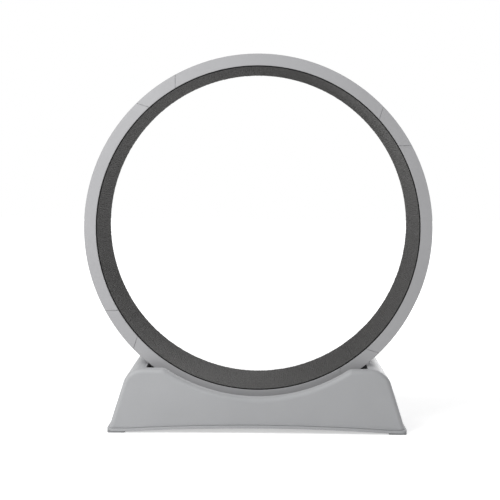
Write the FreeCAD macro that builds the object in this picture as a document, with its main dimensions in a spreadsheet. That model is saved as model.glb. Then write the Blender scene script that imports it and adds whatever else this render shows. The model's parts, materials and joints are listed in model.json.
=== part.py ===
import FreeCAD, Part
import os

import Sketcher

# Cat exercise wheel: a drum lined with carpet that turns on four rollers in a moulded base.
# Frame: origin on the floor under the middle of the base, +Z up, the drum's axis along Y,
# the front towards -Y.  Lengths in millimetres, angles in degrees.

DIMENSIONS = {
    # drum
    "wheel_radius": 450,          # outer edge of the drum's side rings
    "wheel_width": 260,           # front ring face to rear ring face
    "ground_gap": 70,             # drum above the floor
    "ring_depth": 30,             # radial height of the side rings
    "ring_thickness": 4,
    "rim_return": 12,             # rings' outer edge, folded inwards along the axis
    "track_thickness": 4,         # running track under the carpet
    "groove_clearance": 8,        # beside the rollers, to rim return and guide rib
    "guide_height": 18,           # guide ribs beside the rollers' path
    "guide_thickness": 4,
    "stiffener_height": 12,       # ribs across the track, between the guide ribs
    "stiffener_thickness": 3,
    "stiffener_count": 7,         # in each quarter of the track
    "section_gap": 0.6,           # joint line between two quarters of the track
    "joint_angle": 36.5,          # first joint, anticlockwise from +X seen from the front
    "flange_height": 14,          # bolted flanges at the joints
    "flange_thickness": 4,
    "bolt_inset": 36,             # two bolts in each joint, from the guide ribs
    # wedge shaped clips over the joints of the side rings
    "clip_angle_inner": 5.8,      # half angle at the ring's inner edge
    "clip_angle_outer": 8.0,      # half angle at the ring's outer edge
    "clip_seam": 0.8,
    "tongue_angle": 11.0,         # half angle of the tongue behind the ring
    "tongue_thickness": 4,
    "tongue_inset": 10,           # tongue's inner edge from the ring's inner edge
    "tongue_height": 14,
    "clip_screw_angle": 9.7,
    "clip_screw_radius": 1.75,
    "clip_screw_head_radius": 3.5,
    "clip_screw_head_height": 2.4,
    "clip_screw_bite": 3,         # depth of the screw in the ring
    # carpet
    "mat_thickness": 6.7,
    "mat_rise": 3,                # carpet stands proud of the side rings' inner edge
    "mat_margin": 3,              # dark gap between carpet and side ring
    "mat_seam": 1.0,              # gap between two lengths of carpet
    "glue_line": 0.3,
    # rollers
    "roller_radius": 32,
    "roller_width": 22,
    "roller_angle": 33,           # from straight down, about the drum's axis
    "roller_clearance": 0.3,
    "tyre_thickness": 6,
    "bearing_radius": 11,         # ball bearing, 8 x 22 x 7
    "bearing_width": 7,
    "axle_radius": 4,
    "bearing_shoulder": 1.5,      # step in the hub behind each bearing
    "race_thickness": 2.1,
    "shield_thickness": 0.6,
    "shield_gap": 0.3,
    "running_fit": 0.05,
    "spacer_wall": 2,
    # base
    "base_wall": 4,
    "shell_clearance": 16,        # roller brackets to the turned in edge of the shells
    "deck_height": 163,           # top of the base beside the drum
    "deck_width": 8,              # level top of each end wall
    "shoulder_radius": 51,
    "wall_lean": 17.4,            # end walls, from the vertical
    "saddle_cover": 21,           # saddle's curved edge in front of the side ring
    "saddle_corner": 22,          # rounding between saddle and deck
    "edge_radius": 12,            # rounded front edges
    "lip_depth": 20,              # top edge, turned in towards the drum
    "lip_drop": 25,               # and down again
    "well_clearance": 5.9,        # drum to the ends of its well, at the deck
    "roller_room": 2.2,           # rollers to the ends of the well, at least
    "shell_gap": 0.4,             # shadow line between shell and tray
    "boss_radius": 7,
    "boss_height": 37,
    "boss_seat": 23,              # height where the shells' bosses stand on the tray's
    "boss_step": 1,               # tray's bosses are slimmer by this
    "boss_setback": 10.4,         # screw bosses' axis from the front of the shell
    "outer_boss_offset": 15,      # outwards from the end of the well
    "inner_boss_offset": 175,     # inwards
    # tray
    "tray_ledge": 4.4,            # tray's edge beside the shell's ends
    "tray_overhang": 4,           # tray's edge in front of the shell
    "tray_edge": 7,               # height of the tray's edge, level with its arch
    "tray_standoff": 4,           # underside above the floor at the feet
    "arch_rise": 10,              # underside rises to this in the middle
    "arch_margin": 7,             # ends of the arch from the feet
    "tray_floor": 4,
    "tray_rim": 12,
    "tray_corner": 14,
    "pedestal_height": 26,        # top of the pads under the roller brackets
    "pedestal_margin": 3,
    # roller brackets
    "bracket_thickness": 6,
    "bracket_foot": 5,
    "bracket_clearance": 8,
    "bracket_length": 66,
    "eye_radius": 10,             # round top of the bracket about the axle
    "axle_overhang": 5,
    "circlip_radius": 8,
    "circlip_thickness": 1,
    "bracket_screw_spacing": 44,
    # feet
    "foot_length": 45,
    "foot_width": 38,
    "foot_margin": 1,             # from the tray's edges
    "foot_recess": 1.5,
    "foot_corner": 6,
    "foot_screw_well": 3,
    # fasteners
    "screw_radius": 2,
    "screw_head_radius": 4,
    "screw_head_height": 2.6,
    "shell_screw_bite": 15,
    "bracket_screw_bite": 11,
    "bolt_radius": 2.5,
    "bolt_head_width": 8,
    "bolt_head_height": 3.5,
    "nut_height": 4,
    "bolt_overhang": 2,
    "screw_clearance": 0.1,
}

doc = FreeCAD.newDocument("cat_exercise_wheel")
sheet = doc.addObject("Spreadsheet::Sheet", "dims")
for row, (alias, value) in enumerate(DIMENSIONS.items(), 1):
    sheet.set(f"A{row}", alias)
    sheet.set(f"B{row}", str(value))
    sheet.setAlias(f"B{row}", alias)
doc.recompute()

# ---- sizes that follow from the sheet, as expressions ----

AXIS = "(dims.wheel_radius + dims.ground_gap)"
RING_INNER = "(dims.wheel_radius - dims.ring_depth)"
MAT_INNER = f"({RING_INNER} - dims.mat_rise)"
TRACK_INNER = f"({MAT_INNER} + dims.mat_thickness + dims.glue_line)"
RAIL = f"({TRACK_INNER} + dims.track_thickness)"
HALF_WHEEL = "(dims.wheel_width / 2)"
RING_BACK = f"({HALF_WHEEL} - dims.ring_thickness)"
GROOVE = "(dims.roller_width + 2 * dims.groove_clearance)"
GUIDE_OUTER = f"({HALF_WHEEL} - dims.rim_return - {GROOVE})"
GUIDE_INNER = f"({GUIDE_OUTER} - dims.guide_thickness)"
BOLT_Y = f"({GUIDE_INNER} - dims.bolt_inset)"
ROLLER_Y = f"({GUIDE_OUTER} + {GROOVE} / 2)"
ROLLER_PATH = f"({RAIL} + dims.roller_clearance + dims.roller_radius)"
AXLE_X = f"({ROLLER_PATH} * sin(dims.roller_angle))"
AXLE_Z = f"({AXIS} - {ROLLER_PATH} * cos(dims.roller_angle))"
JOINT_HALF = f"(dims.section_gap / 2 / {RAIL} * 180 / pi)"

BRACKET_IN = f"({GUIDE_INNER} - dims.bracket_clearance)"
BRACKET_OUT = f"({HALF_WHEEL} + dims.bracket_clearance)"
BRACKET_END = f"({BRACKET_OUT} + dims.bracket_thickness)"
BRACKET_MID = f"(({BRACKET_IN} + {BRACKET_OUT}) / 2)"
AXLE_END = f"({BRACKET_END} + dims.axle_overhang)"

LIP_EDGE = f"({BRACKET_END} + dims.shell_clearance)"
HALF_DEPTH = f"({LIP_EDGE} + dims.lip_depth)"
TRAY_TOP = "(dims.tray_standoff + dims.tray_edge)"
SHELL_FOOT = f"({TRAY_TOP} + dims.shell_gap)"
SADDLE = "(dims.wheel_radius - dims.saddle_cover)"
DECK_DROP = f"({AXIS} - dims.deck_height)"
DRUM_AT_DECK = f"(sqrt(dims.wheel_radius^2 - {DECK_DROP}^2) + dims.well_clearance)"
WELL_HALF = f"max({DRUM_AT_DECK}; {AXLE_X} + dims.roller_radius + dims.roller_room)"
SHOULDER_X = f"({WELL_HALF} + dims.deck_width)"
SHOULDER_Z = "(dims.deck_height - dims.shoulder_radius)"
BOSS_XS = (f"({WELL_HALF} + dims.outer_boss_offset)", f"({WELL_HALF} - dims.inner_boss_offset)")
BOSS_Y = f"({HALF_DEPTH} - dims.boss_setback)"


def wall_x(inset, z):
    """Half length of the base at a height, with its outside moved in by an inset."""
    lean = f"({SHOULDER_Z} - {z}) * tan(dims.wall_lean)"
    return f"({SHOULDER_X} + (dims.shoulder_radius - {inset}) / cos(dims.wall_lean) + {lean})"


TRAY_HALF = f"({wall_x('0', SHELL_FOOT)} + dims.tray_ledge)"
TRAY_HALF_DEPTH = f"({HALF_DEPTH} + dims.tray_overhang)"
FLOOR_TOP = "(dims.tray_standoff + dims.tray_floor)"
FOOT_X = f"({TRAY_HALF} - dims.foot_margin - dims.foot_length / 2)"
FOOT_Y = f"({TRAY_HALF_DEPTH} - dims.foot_margin - dims.foot_width / 2)"
ARCH_HALF = f"({TRAY_HALF} - dims.foot_margin - dims.foot_length - dims.arch_margin)"
ARCH_RADIUS = f"(({ARCH_HALF}^2 + dims.arch_rise^2) / (2 * dims.arch_rise))"


def size(expression):
    """Value of an expression on the sheet."""
    return float(sheet.evalExpression(expression))


# ---- drawing helpers ----

def new_body(name):
    """An empty body that carries a sub-part's name."""
    return doc.addObject("PartDesign::Body", name)


def new_sketch(body, name, plane="XZ_Plane", lift="0", turn_axis=(0, 0, 1), turn="0"):
    """A sketch on one of the body's planes, lifted off it and turned in it."""
    sketch = body.newObject("Sketcher::SketchObject", name)
    support = [item for item in body.Origin.OriginFeatures if item.Role == plane][0]
    sketch.AttachmentSupport = [(support, "")]
    sketch.MapMode = "FlatFace"
    axis = f"vector({turn_axis[0]}; {turn_axis[1]}; {turn_axis[2]})"
    turned = f"placement(vector(0; 0; 0); rotation({axis}; {turn}))"
    lifted = f"placement(vector(0; 0; {lift}); rotation(vector(0; 0; 1); 0))"
    sketch.setExpression("AttachmentOffset", f"{turned} * {lifted}")
    return sketch


def pin(sketch, element, point, x=None, y=None):
    """Ties a point of a sketch element to expressions for its place."""
    for kind, place in (("DistanceX", x), ("DistanceY", y)):
        if place is not None:
            rule = Sketcher.Constraint(kind, -1, 1, element, point, size(place))
            sketch.setExpression(f"Constraints[{sketch.addConstraint(rule)}]", place)


def draw_outline(sketch, corners, arcs=None):
    """Closed outline through corners (x, y).  arcs maps the number of a corner to the
    centre and sense of the arc that starts there: (x, y, "left" or "right")."""
    arcs = arcs or {}
    points = [FreeCAD.Vector(size(x), size(y), 0) for x, y in corners]
    first = sketch.GeometryCount
    count = len(points)
    for number, start in enumerate(points):
        end = points[(number + 1) % count]
        if number in arcs:
            centre = FreeCAD.Vector(size(arcs[number][0]), size(arcs[number][1]), 0)
            circle = Part.Circle(centre, FreeCAD.Vector(0, 0, 1), (start - centre).Length)
            ends = [start, end] if arcs[number][2] == "left" else [end, start]
            sketch.addGeometry(Part.ArcOfCircle(circle, *[circle.parameter(p) for p in ends]))
        else:
            sketch.addGeometry(Part.LineSegment(start, end))

    def side(number, at_start):
        turned_right = number in arcs and arcs[number][2] == "right"
        return 1 if at_start != turned_right else 2

    for number, corner in enumerate(corners):
        before = (number - 1) % count
        sketch.addConstraint(Sketcher.Constraint(
            "Coincident", first + before, side(before, False), first + number, side(number, True)))
        x, y = corner
        if before in arcs:
            reach = points[number] - FreeCAD.Vector(size(arcs[before][0]), size(arcs[before][1]), 0)
            if abs(reach.x) > abs(reach.y):
                x = None
            else:
                y = None
        pin(sketch, first + number, side(number, True), x, y)
        if number in arcs:
            pin(sketch, first + number, 3, arcs[number][0], arcs[number][1])


def draw_box(sketch, x_from, x_to, y_from, y_to):
    draw_outline(sketch, [(x_from, y_from), (x_to, y_from), (x_to, y_to), (x_from, y_to)])


def draw_circle(sketch, x, y, radius):
    middle = FreeCAD.Vector(size(x), size(y), 0)
    circle = Part.Circle(middle, FreeCAD.Vector(0, 0, 1), size(radius))
    element = sketch.addGeometry(circle)
    pin(sketch, element, 3, x, y)
    rule = sketch.addConstraint(Sketcher.Constraint("Radius", element, size(radius)))
    sketch.setExpression(f"Constraints[{rule}]", radius)


def extrude(kind, body, sketch, name, length, backwards=False, both_ways=False):
    feature = body.newObject(f"PartDesign::{kind}", name)
    feature.Profile = sketch
    feature.SideType = "Symmetric" if both_ways else "One side"
    feature.Reversed = backwards
    feature.setExpression("Length", length)
    doc.recompute()
    return feature


def pad(body, sketch, name, length, **options):
    return extrude("Pad", body, sketch, name, length, **options)


def pocket(body, sketch, name, length, **options):
    """Cuts the outline away, and stops if nothing was there to cut."""
    before = body.Shape.Volume
    feature = extrude("Pocket", body, sketch, name, length, **options)
    if not body.Shape.Volume < before - 1e-3:
        raise RuntimeError(f"{body.Name}.{name} cuts nothing")
    return feature


def spin(body, sketch, name, angle="360"):
    """Turns the outline about the sketch's upright axis, half the angle to each side."""
    feature = body.newObject("PartDesign::Revolution", name)
    feature.Profile = sketch
    feature.ReferenceAxis = (sketch, ["V_Axis"])
    feature.Midplane = True
    feature.setExpression("Angle", angle)
    doc.recompute()
    return feature


def round_edges(body, name, radius, wanted):
    """Fillets the edges of the body's last feature that the test picks."""
    base = body.Tip
    names = [f"Edge{i}" for i, edge in enumerate(base.Shape.Edges, 1) if wanted(edge)]
    feature = body.newObject("PartDesign::Fillet", name)
    feature.Base = (base, names)
    feature.setExpression("Radius", radius)
    doc.recompute()
    return feature


def along_y(edge):
    """True for a straight edge that runs from front to rear."""
    ends = [vertex.Point for vertex in edge.Vertexes]
    return (len(ends) == 2 and abs(ends[0].y - ends[1].y) > 1e-3
            and abs(ends[0].x - ends[1].x) < 1e-3 and abs(ends[0].z - ends[1].z) < 1e-3)


def place(item, x="0", y="0", z="0", axis=(0, 0, 1), angle="0", then=""):
    turn = f"rotation(vector({axis[0]}; {axis[1]}; {axis[2]}); {angle})"
    item.setExpression("Placement", f"placement(vector({x}; {y}; {z}); {turn}){then}")


def on_wheel(item, angle, flipped=False):
    """Puts a piece drawn about the drum's axis, with its middle on +X, at an angle of the
    drum.  A flipped piece faces the rear instead of the front."""
    flip = " * placement(vector(0; 0; 0); rotation(vector(1; 0; 0); 180))" if flipped else ""
    place(item, z=AXIS, axis=(0, 1, 0), angle=f"-({angle})", then=flip)


def joint_angle(number):
    return f"(dims.joint_angle + {90 * number})"


def group(name, items):
    """Like pieces under one name, each still a solid of its own."""
    compound = doc.addObject("Part::Compound", name)
    compound.Links = items
    return compound


def copy_of(pattern, name):
    """A piece of a pattern's shape, with a name and a place of its own."""
    return group(name, [pattern])


def cylinder(name, radius, height, z="0"):
    item = doc.addObject("Part::Cylinder", name)
    item.setExpression("Radius", radius)
    item.setExpression("Height", height)
    place(item, z=z)
    return item


def joined(name, items):
    item = doc.addObject("Part::MultiFuse", name)
    item.Shapes = items
    return item


def drilled(name, item, hole):
    cut = doc.addObject("Part::Cut", name)
    cut.Base = item
    cut.Tool = hole
    return cut


def pan_screw(name, length, radius="dims.screw_radius", head_radius="dims.screw_head_radius",
              head_height="dims.screw_head_height"):
    """Screw along +Z with the underside of its head at the origin."""
    shank = cylinder(f"{name}_shank", radius, length)
    head = cylinder(f"{name}_head", head_radius, head_height, z=f"-({head_height})")
    return joined(name, [shank, head])


def hexagon(name, height, z="0"):
    prism = doc.addObject("Part::Prism", name)
    prism.Polygon = 6
    prism.setExpression("Circumradius", "dims.bolt_head_width / 2 / cos(30)")
    prism.setExpression("Height", height)
    place(prism, z=z)
    return prism


# ---- drum ----

def ring_corners():
    """Half of the track's cross-section, from the front ring to the middle: radius, y."""
    radius = "dims.wheel_radius"
    return [
        (TRACK_INNER, f"-{RING_BACK}"),
        (RING_INNER, f"-{RING_BACK}"),
        (RING_INNER, f"-{HALF_WHEEL}"),
        (radius, f"-{HALF_WHEEL}"),
        (radius, f"-({HALF_WHEEL} - dims.rim_return)"),
        (f"{radius} - dims.ring_thickness", f"-({HALF_WHEEL} - dims.rim_return)"),
        (f"{radius} - dims.ring_thickness", f"-{RING_BACK}"),
        (RAIL, f"-{RING_BACK}"),
        (RAIL, f"-{GUIDE_OUTER}"),
        (f"{RAIL} + dims.guide_height", f"-{GUIDE_OUTER}"),
        (f"{RAIL} + dims.guide_height", f"-{GUIDE_INNER}"),
        (RAIL, f"-{GUIDE_INNER}"),
    ]


def clip_corners(seam):
    """Wedge that fills the ring at a joint, smaller by a seam on its slanted sides."""
    corners = []
    for radius, angle in ((RING_INNER, "dims.clip_angle_inner"),
                          ("dims.wheel_radius", "dims.clip_angle_outer")):
        reduced = f"({angle} - {seam} / {radius} * 180 / pi)"
        corners.append((f"{radius} * cos({reduced})", f"{radius} * sin({reduced})"))
    (x_in, y_in), (x_out, y_out) = corners
    return [(x_in, f"-({y_in})"), (x_out, f"-({y_out})"), (x_out, y_out), (x_in, y_in)]


def clip_screw_place():
    radius = f"({RING_INNER} + dims.tongue_inset + dims.tongue_height / 2)"
    return (f"{radius} * cos(dims.clip_screw_angle)", f"{radius} * sin(dims.clip_screw_angle)")


def track_quarter():
    """A quarter of the drum: track, both side rings, guide ribs and bolted flanges."""
    body = new_body("track_quarter")
    front = ring_corners()
    rear = [(x, y[1:]) for x, y in reversed(front)]
    profile = new_sketch(body, "section_profile", "XY_Plane")
    draw_outline(profile, front + rear)
    spin(body, profile, "section_channel", f"90 - 2 * {JOINT_HALF}")

    spread = f"(90 - 2 * {JOINT_HALF} - 90 / dims.stiffener_count)"
    rib = new_sketch(body, "stiffener_outline", "XY_Plane",
                     turn_axis=(0, 1, 0), turn=f"-{spread} / 2")
    draw_box(rib, f"{RAIL} - dims.track_thickness / 2", f"{RAIL} + dims.stiffener_height",
             f"-({GUIDE_INNER} + dims.guide_thickness / 2)",
             f"{GUIDE_INNER} + dims.guide_thickness / 2")
    first = pad(body, rib, "stiffener", "dims.stiffener_thickness", both_ways=True)
    pattern = body.newObject("PartDesign::PolarPattern", "stiffeners")
    pattern.Originals = [first]
    pattern.Axis = (rib, ["V_Axis"])
    pattern.setExpression("Angle", spread)
    pattern.setExpression("Occurrences", "dims.stiffener_count")
    body.Tip = pattern
    doc.recompute()

    for end, sense in (("start", 1), ("end", -1)):
        turn = f"{sense} * (45 - {JOINT_HALF})"
        plate = new_sketch(body, f"flange_outline_{end}", "XY_Plane",
                           turn_axis=(0, 1, 0), turn=turn)
        draw_box(plate, f"{RAIL} - dims.track_thickness / 2", f"{RAIL} + dims.flange_height",
                 f"-({GUIDE_INNER} + dims.guide_thickness / 2)",
                 f"{GUIDE_INNER} + dims.guide_thickness / 2")
        pad(body, plate, f"joint_flange_{end}", "dims.flange_thickness", backwards=(sense == -1))
        holes = new_sketch(body, f"bolt_hole_outline_{end}", "XY_Plane",
                           turn_axis=(0, 1, 0), turn=turn)
        for side in ("-", ""):
            draw_circle(holes, f"{RAIL} + dims.flange_height / 2", f"{side}{BOLT_Y}",
                        "dims.bolt_radius + dims.screw_clearance")
        pocket(body, holes, f"bolt_holes_{end}", "dims.flange_thickness * 2", both_ways=True)

    for face, lift in (("front", HALF_WHEEL), ("rear", f"-{RING_BACK}")):
        for end, sense in (("start", 1), ("end", -1)):
            notch = new_sketch(body, f"notch_outline_{face}_{end}", "XZ_Plane",
                               lift=lift, turn=f"{sense} * 45")
            draw_outline(notch, notch_corners())
            pocket(body, notch, f"notch_{face}_{end}", "dims.ring_thickness")
            hole = new_sketch(body, f"clip_hole_outline_{face}_{end}", "XZ_Plane",
                              lift=f"{RING_BACK} + dims.clip_screw_bite" if face == "front"
                              else f"-{RING_BACK}", turn=f"{sense} * 45")
            x, y = clip_screw_place()
            draw_circle(hole, x, f"-{sense} * {y}",
                        "dims.clip_screw_radius + dims.screw_clearance")
            pocket(body, hole, f"clip_hole_{face}_{end}", "dims.clip_screw_bite")
    return body


def notch_corners():
    """Wedge shaped notch for a clip, run out past both edges of the ring."""
    inner = f"{RING_INNER} * cos(dims.clip_angle_inner)"
    outer = "dims.wheel_radius * cos(dims.clip_angle_outer)"
    half_inner = f"{RING_INNER} * sin(dims.clip_angle_inner)"
    half_outer = "dims.wheel_radius * sin(dims.clip_angle_outer)"
    flare = f"(({half_outer} - {half_inner}) / ({outer} - {inner}))"
    near, far = f"({inner} - dims.ring_depth / 2)", f"({outer} + dims.ring_depth / 2)"
    half_near = f"({half_inner} - {flare} * dims.ring_depth / 2)"
    half_far = f"({half_outer} + {flare} * dims.ring_depth / 2)"
    return [(near, f"-{half_near}"), (far, f"-{half_far}"), (far, half_far), (near, half_near)]


def ring_clip():
    """Wedge that covers a joint of a side ring, with a tongue screwed on behind."""
    body = new_body("ring_clip")
    wedge = new_sketch(body, "clip_outline", "XZ_Plane", lift=HALF_WHEEL)
    centre = ("0", "0")
    draw_outline(wedge, clip_corners("dims.clip_seam"),
                 {1: (*centre, "left"), 3: (*centre, "right")})
    pad(body, wedge, "clip_wedge", "dims.ring_thickness", backwards=True)
    tongue = new_sketch(body, "tongue_outline", "XZ_Plane", lift=RING_BACK)
    low = f"({RING_INNER} + dims.tongue_inset)"
    high = f"({low} + dims.tongue_height)"
    corners = [(f"{radius} * cos(dims.tongue_angle)", f"{sign}{radius} * sin(dims.tongue_angle)")
               for radius, sign in ((low, "-"), (high, "-"), (high, ""), (low, ""))]
    draw_outline(tongue, corners, {1: (*centre, "left"), 3: (*centre, "right")})
    pad(body, tongue, "clip_tongue", "dims.tongue_thickness", backwards=True)
    holes = new_sketch(body, "tongue_hole_outline", "XZ_Plane", lift=RING_BACK)
    x, y = clip_screw_place()
    for sign in ("-", ""):
        draw_circle(holes, x, f"{sign}{y}", "dims.clip_screw_radius + dims.screw_clearance")
    pocket(body, holes, "tongue_holes", "dims.tongue_thickness")
    return body


def mat_quarter():
    """A quarter of the carpet, level with the inner edges of the side rings."""
    body = new_body("mat_quarter")
    profile = new_sketch(body, "mat_profile", "XY_Plane")
    half = f"({RING_BACK} - dims.mat_margin)"
    draw_box(profile, MAT_INNER, f"{MAT_INNER} + dims.mat_thickness", f"-{half}", half)
    spin(body, profile, "mat", f"90 - dims.mat_seam / {MAT_INNER} * 180 / pi")
    return body


def drum():
    """Four quarters of track and carpet, with a clip at each joint of both rings."""
    section, mat, clip = track_quarter(), mat_quarter(), ring_clip()
    parts = []
    for number in range(4):
        for pattern, name in ((section, "track_section"), (mat, "carpet_mat")):
            piece = copy_of(pattern, f"{name}_{number + 1}")
            on_wheel(piece, f"{joint_angle(number)} + 45")
            parts.append(piece)
        for side in ("front", "rear"):
            piece = copy_of(clip, f"joint_clip_{side}_{number + 1}")
            on_wheel(piece, joint_angle(number), flipped=(side == "rear"))
            parts.append(piece)
    return parts


def clip_screws():
    """Screws through the clips' tongues into the side rings, from inside the drum."""
    screws = []
    x, y = clip_screw_place()
    pattern = pan_screw("clip_screw", "dims.tongue_thickness + dims.clip_screw_bite",
                        "dims.clip_screw_radius", "dims.clip_screw_head_radius",
                        "dims.clip_screw_head_height")
    for side in ("front", "rear"):
        for number in range(4):
            for sign in ("-", ""):
                screw = copy_of(pattern, f"clip_screw_{len(screws) + 1}")
                seat = f"placement(vector({x}; -({RING_BACK} - dims.tongue_thickness); {sign}{y})"
                aim = f" * {seat}; rotation(vector(1; 0; 0); 90))"
                flip = " * placement(vector(0; 0; 0); rotation(vector(1; 0; 0); 180))"
                place(screw, z=AXIS, axis=(0, 1, 0),
                      angle=f"-{joint_angle(number)}", then=(flip if side == "rear" else "") + aim)
                screws.append(screw)
    return group("clip_screws", screws)


def joint_fasteners():
    """Bolts and nuts that hold the quarters of the track together."""
    bolts = []
    nuts = []
    grip = "(2 * dims.flange_thickness + dims.section_gap + 2 * dims.running_fit)"
    shank = cylinder("bolt_shank", "dims.bolt_radius",
                     f"{grip} + dims.nut_height + dims.bolt_overhang")
    bolt = joined("bolt", [shank, hexagon("bolt_head", "dims.bolt_head_height",
                                          z="-dims.bolt_head_height")])
    bore = cylinder("nut_bore", "dims.bolt_radius + dims.running_fit", "dims.nut_height * 3",
                    z=f"{grip} - dims.nut_height")
    nut = drilled("nut", hexagon("nut_blank", "dims.nut_height", z=grip), bore)
    for number in range(4):
        for sign in ("-", ""):
            aim = f" * placement(vector({RAIL} + dims.flange_height / 2; {sign}{BOLT_Y}; "
            aim += f"-{grip} / 2); rotation(vector(0; 0; 1); 0))"
            for kept, pattern in ((bolts, bolt), (nuts, nut)):
                piece = copy_of(pattern, f"{pattern.Label}_{len(kept) + 1}")
                place(piece, z=AXIS, axis=(0, 1, 0), angle=f"-{joint_angle(number)}", then=aim)
                kept.append(piece)
    return [group("joint_bolts", bolts), group("joint_nuts", nuts)]


# ---- rollers ----

def roller_patterns():
    """Hub, tyre and the outer parts of two ball bearings, about a Y axis."""
    half = "(dims.roller_width / 2)"
    seat = "(dims.bearing_radius + dims.running_fit)"
    shoulder = f"({seat} - dims.bearing_shoulder)"
    tyre_bore = "(dims.roller_radius - dims.tyre_thickness)"
    outer = f"({tyre_bore} - dims.running_fit)"
    step = f"({half} - dims.bearing_width)"

    hub = new_body("hub")
    profile = new_sketch(hub, "hub_profile", "XY_Plane")
    draw_outline(profile, [
        (seat, f"-{half}"), (outer, f"-{half}"), (outer, half), (seat, half),
        (seat, step), (shoulder, step), (shoulder, f"-{step}"), (seat, f"-{step}")])
    spin(hub, profile, "hub_turned")

    tyre = new_body("tyre")
    profile = new_sketch(tyre, "tyre_profile", "XY_Plane")
    draw_box(profile, tyre_bore, "dims.roller_radius", f"-{half}", half)
    spin(tyre, profile, "tyre_turned")
    rim = size("dims.roller_radius")
    round_edges(tyre, "tyre_edges", "dims.tyre_thickness / 4",
                lambda edge: hasattr(edge.Curve, "Radius") and abs(edge.Curve.Radius - rim) < 1e-3)

    bearings = []
    inner = "(dims.axle_radius + dims.running_fit + dims.race_thickness + dims.shield_gap)"
    race = "(dims.bearing_radius - dims.race_thickness)"
    for seat_name, low, high in (("outer", f"-{half}", f"-{step}"), ("inner", step, half)):
        bearing = new_body(f"{seat_name}_bearing_ring")
        profile = new_sketch(bearing, f"{seat_name}_bearing_profile", "XY_Plane")
        draw_outline(profile, [
            (inner, low), ("dims.bearing_radius", low), ("dims.bearing_radius", high),
            (inner, high), (inner, f"{high} - dims.shield_thickness"),
            (race, f"{high} - dims.shield_thickness"), (race, f"{low} + dims.shield_thickness"),
            (inner, f"{low} + dims.shield_thickness")])
        spin(bearing, profile, f"{seat_name}_bearing_turned")
        bearings.append(bearing)
    return [("hub", [hub]), ("tyre", [tyre]), ("bearings", bearings)]


def tube_y(name, outer, inner, length):
    """Tube along +Y from the origin."""
    body = new_body(name)
    profile = new_sketch(body, f"{name}_profile", "XY_Plane")
    draw_box(profile, inner, outer, "0", length)
    spin(body, profile, f"{name}_turned")
    return body


def axle(name, end):
    item = doc.addObject("Part::Cylinder", name)
    item.setExpression("Radius", "dims.axle_radius")
    item.setExpression("Height", f"2 * {AXLE_END}")
    place(item, x=f"{end}{AXLE_X}", y=AXLE_END, z=AXLE_Z, axis=(1, 0, 0), angle="90")
    return item


def axle_rings():
    """Bearings' inner races, spacer tubes and circlips along both axles."""
    races = []
    spacers = []
    circlips = []
    bore = "(dims.axle_radius + dims.running_fit)"
    race_outer = f"({bore} + dims.race_thickness)"
    spacer_outer = f"({bore} + dims.spacer_wall)"
    roller_in = f"({ROLLER_Y} - dims.roller_width / 2)"
    roller_out = f"({ROLLER_Y} + dims.roller_width / 2)"
    pieces = (
        (races, "race_inner", race_outer, roller_in, "dims.bearing_width"),
        (races, "race_outer", race_outer, f"({roller_out} - dims.bearing_width)",
         "dims.bearing_width"),
        (spacers, "spacer_inner", spacer_outer, BRACKET_IN, f"{roller_in} - {BRACKET_IN}"),
        (spacers, "spacer_middle", spacer_outer, f"({roller_in} + dims.bearing_width)",
         "dims.roller_width - 2 * dims.bearing_width"),
        (spacers, "spacer_outer", spacer_outer, roller_out, f"{BRACKET_OUT} - {roller_out}"),
        (circlips, "circlip", "dims.circlip_radius", BRACKET_END, "dims.circlip_thickness"),
    )
    for end_name, end in (("left", "-"), ("right", "")):
        for side_name, side in (("front", "-"), ("rear", "")):
            for kept, kind, outer, start, length in pieces:
                item = tube_y(f"{kind}_{end_name}_{side_name}", outer, bore, length)
                turn = "180" if side == "-" else "0"
                place(item, x=f"{end}{AXLE_X}", y=f"{side}{start}", z=AXLE_Z, angle=turn)
                kept.append(item)
    return [group("bearing_inner_races", races), group("axle_spacers", spacers),
            group("axle_circlips", circlips)]


# ---- base ----

def shell_outline(sketch, inset, foot, arched=False):
    """Front view of the base, moved in by an inset, with the saddle for the drum."""
    deck = f"(dims.deck_height - {inset})"
    bend_x = f"({SHOULDER_X} + (dims.shoulder_radius - {inset}) * cos(dims.wall_lean))"
    bend_z = f"({SHOULDER_Z} + (dims.shoulder_radius - {inset}) * sin(dims.wall_lean))"
    saddle_x = f"sqrt(({SADDLE} + {inset})^2 - ({AXIS} - {deck})^2)"
    right = [(wall_x(inset, foot), foot), (bend_x, bend_z), (SHOULDER_X, deck),
             (saddle_x, deck)]
    left = [(f"-{x}", z) for x, z in reversed(right)]
    arcs = {1: (SHOULDER_X, SHOULDER_Z, "left"), 3: ("0", AXIS, "right"),
            5: (f"-{SHOULDER_X}", SHOULDER_Z, "left")}
    arch = []
    if arched:
        arch = [(f"-{ARCH_HALF}", foot), (ARCH_HALF, foot)]
        arcs[8] = ("0", arch_centre(foot), "right")
    draw_outline(sketch, right + left + arch, arcs)


def end_hollow(sketch, side):
    """Hollow of one end wall beside the drum's well."""
    inset = "dims.base_wall"
    below = f"({SHELL_FOOT} - dims.base_wall)"
    deck = f"(dims.deck_height - {inset})"
    corners = [
        (f"{WELL_HALF} - dims.base_wall", below),
        (wall_x(inset, below), below),
        (f"{SHOULDER_X} + (dims.shoulder_radius - {inset}) * cos(dims.wall_lean)",
         f"{SHOULDER_Z} + (dims.shoulder_radius - {inset}) * sin(dims.wall_lean)"),
        (SHOULDER_X, deck),
        (f"{WELL_HALF} + dims.base_wall", deck),
        (f"{WELL_HALF} + dims.base_wall", "dims.deck_height - dims.lip_drop"),
        (f"{WELL_HALF} - dims.base_wall", "dims.deck_height - dims.lip_drop"),
    ]
    centre = (SHOULDER_X, SHOULDER_Z, "left")
    if side == "-":
        corners = [(f"-({x})", z) for x, z in corners]
        centre = (f"-({centre[0]})", centre[1], "right")
    draw_outline(sketch, corners, {2: centre})


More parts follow.
